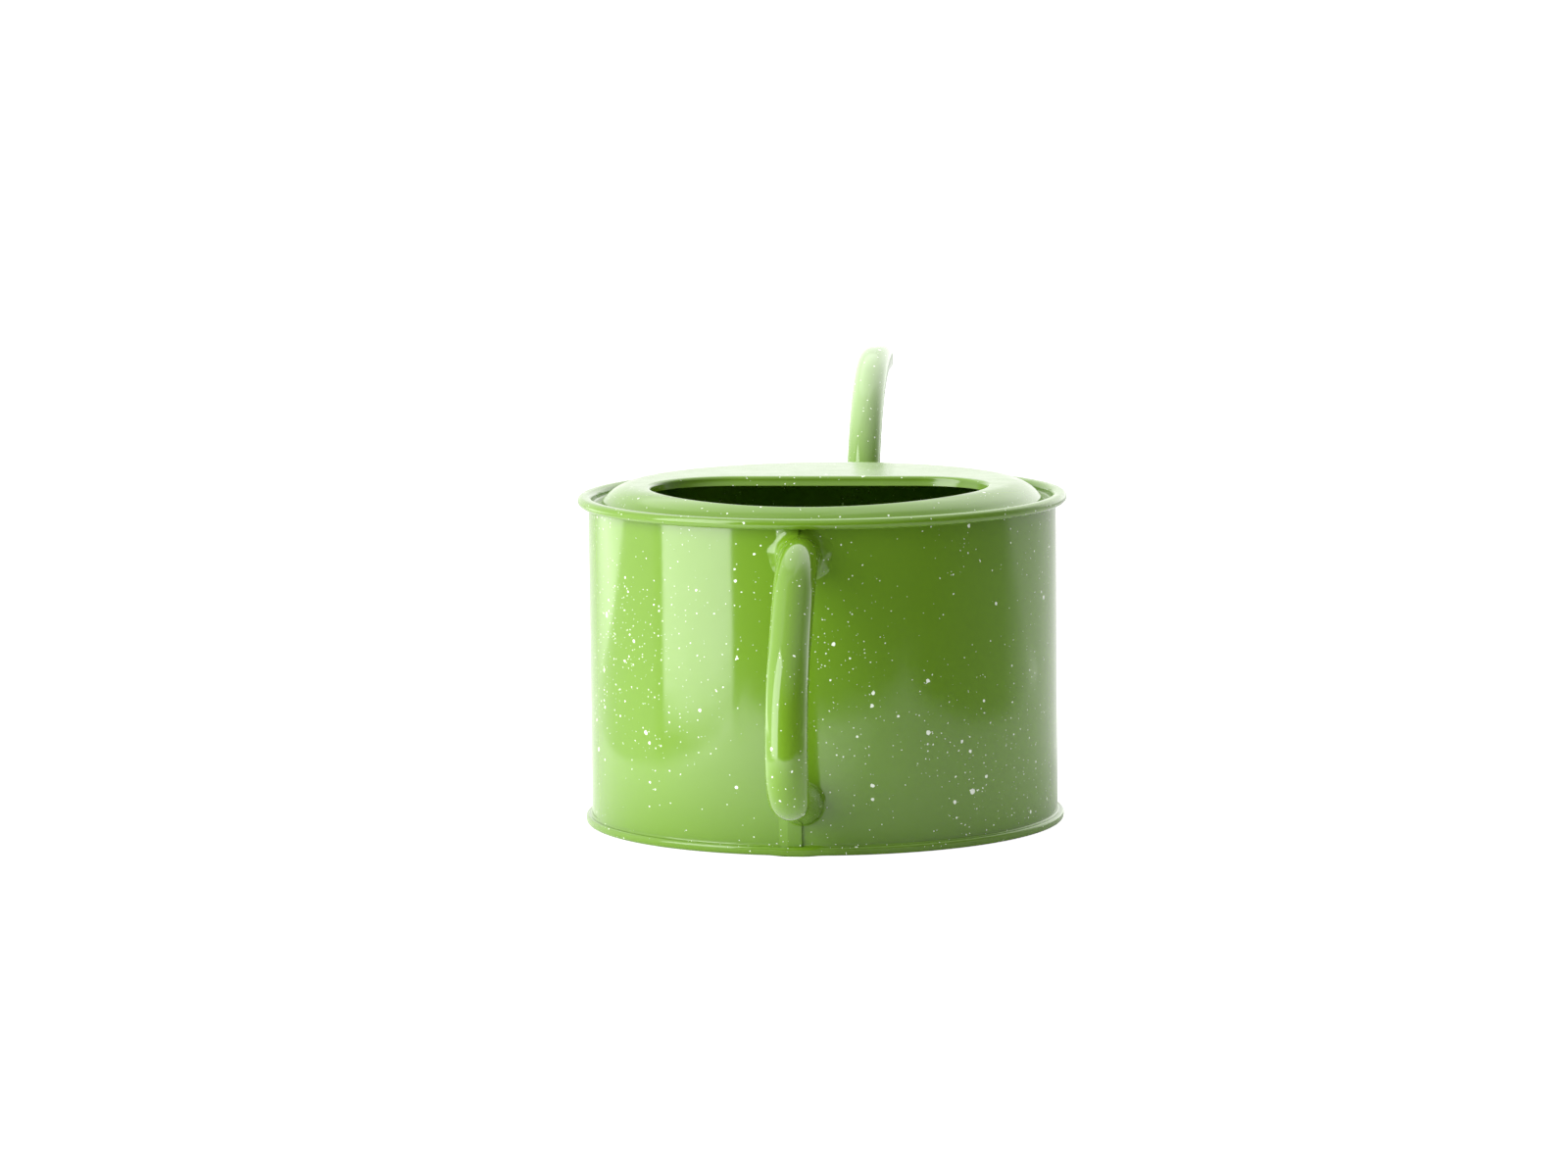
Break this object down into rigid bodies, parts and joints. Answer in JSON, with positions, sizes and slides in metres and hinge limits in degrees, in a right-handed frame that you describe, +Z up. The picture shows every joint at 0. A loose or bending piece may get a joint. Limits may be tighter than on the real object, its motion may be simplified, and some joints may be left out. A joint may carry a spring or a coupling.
{
  "type": "watering can",
  "caption": "Round enamelled steel watering can with a domed top, a D-shaped filling mouth, a bent tube handle and a long slender S-curved spout.",
  "frame": {"origin": "on the can's axis, at the level of the floor it stands on", "axes": "+Z up, +Y towards the spout, -Y towards the handle"},
  "size_m": [0.1568, 0.352, 0.135],
  "materials": {
    "enamel": "glossy vitreous enamel, leaf green speckled with white"
  },
  "bodies": {
    "root": {"body_wall": "enamel", "base_plate": "enamel", "top_cover": "enamel", "spout_tube": "enamel", "handle_tube": "enamel", "spout_weld": "enamel", "handle_top_weld": "enamel", "handle_foot_weld": "enamel", "side_seam_weld": "enamel"}
  },
  "joints": []
}
